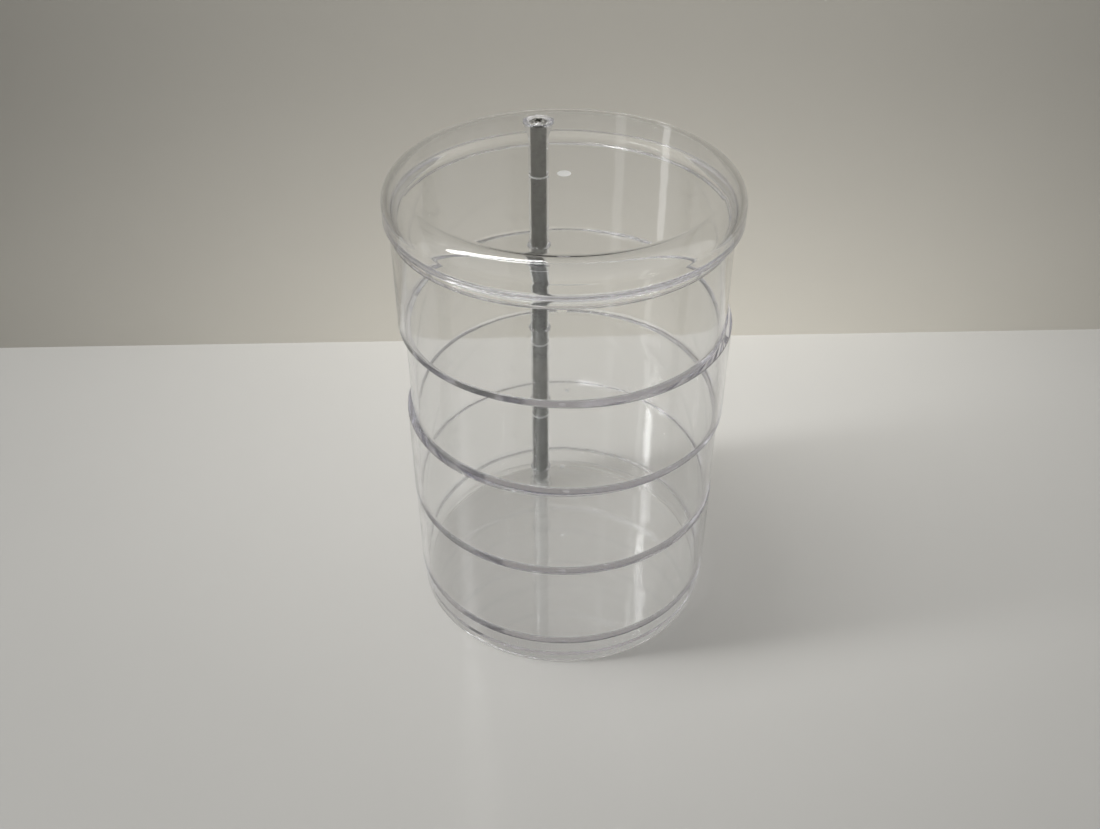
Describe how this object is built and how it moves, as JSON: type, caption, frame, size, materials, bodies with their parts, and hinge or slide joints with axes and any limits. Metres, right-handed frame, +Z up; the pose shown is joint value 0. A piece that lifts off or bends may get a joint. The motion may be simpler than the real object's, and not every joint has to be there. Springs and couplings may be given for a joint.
{
  "type": "swing-out storage tower",
  "caption": "Clear round storage tower: stacked open trays under a lid on a low base, each swinging out about one off-centre steel screw.",
  "frame": {"origin": "On the table, straight below the centre of the lid, which is the middle of the footprint to 0.1 mm.", "axes": "+Z up along the tower; +Y from the lid's centre towards the pivot screw; +X completes a right-handed frame."},
  "size_m": [0.104, 0.104, 0.1505],
  "materials": {
    "clear_plastic": "polished clear styrene plastic",
    "screw_steel": "nickel-plated, bright head and duller shank",
    "nut_steel": "zinc-plated"
  },
  "bodies": {
    "base": {"base": "clear_plastic", "pivot_screw": "screw_steel", "pivot_nut": "nut_steel"},
    "lid": {"lid": "clear_plastic"},
    "tray_1": {"tray_1": "clear_plastic"},
    "tray_2": {"tray_2": "clear_plastic"},
    "tray_3": {"tray_3": "clear_plastic"},
    "tray_4": {"tray_4": "clear_plastic"}
  },
  "joints": [
    {"name": "lid_swing", "type": "hinge", "parent": "base", "child": "lid", "pos_m": [0, 0.0386, 0], "axis": [0, 0, 1], "continuous": true},
    {"name": "tray_1_swing", "type": "hinge", "parent": "base", "child": "tray_1", "pos_m": [0, 0.0386, 0], "axis": [0, 0, 1], "continuous": true},
    {"name": "tray_2_swing", "type": "hinge", "parent": "base", "child": "tray_2", "pos_m": [0, 0.0386, 0], "axis": [0, 0, 1], "continuous": true},
    {"name": "tray_3_swing", "type": "hinge", "parent": "base", "child": "tray_3", "pos_m": [0, 0.0386, 0], "axis": [0, 0, 1], "continuous": true},
    {"name": "tray_4_swing", "type": "hinge", "parent": "base", "child": "tray_4", "pos_m": [0, 0.0386, 0], "axis": [0, 0, 1], "continuous": true}
  ]
}
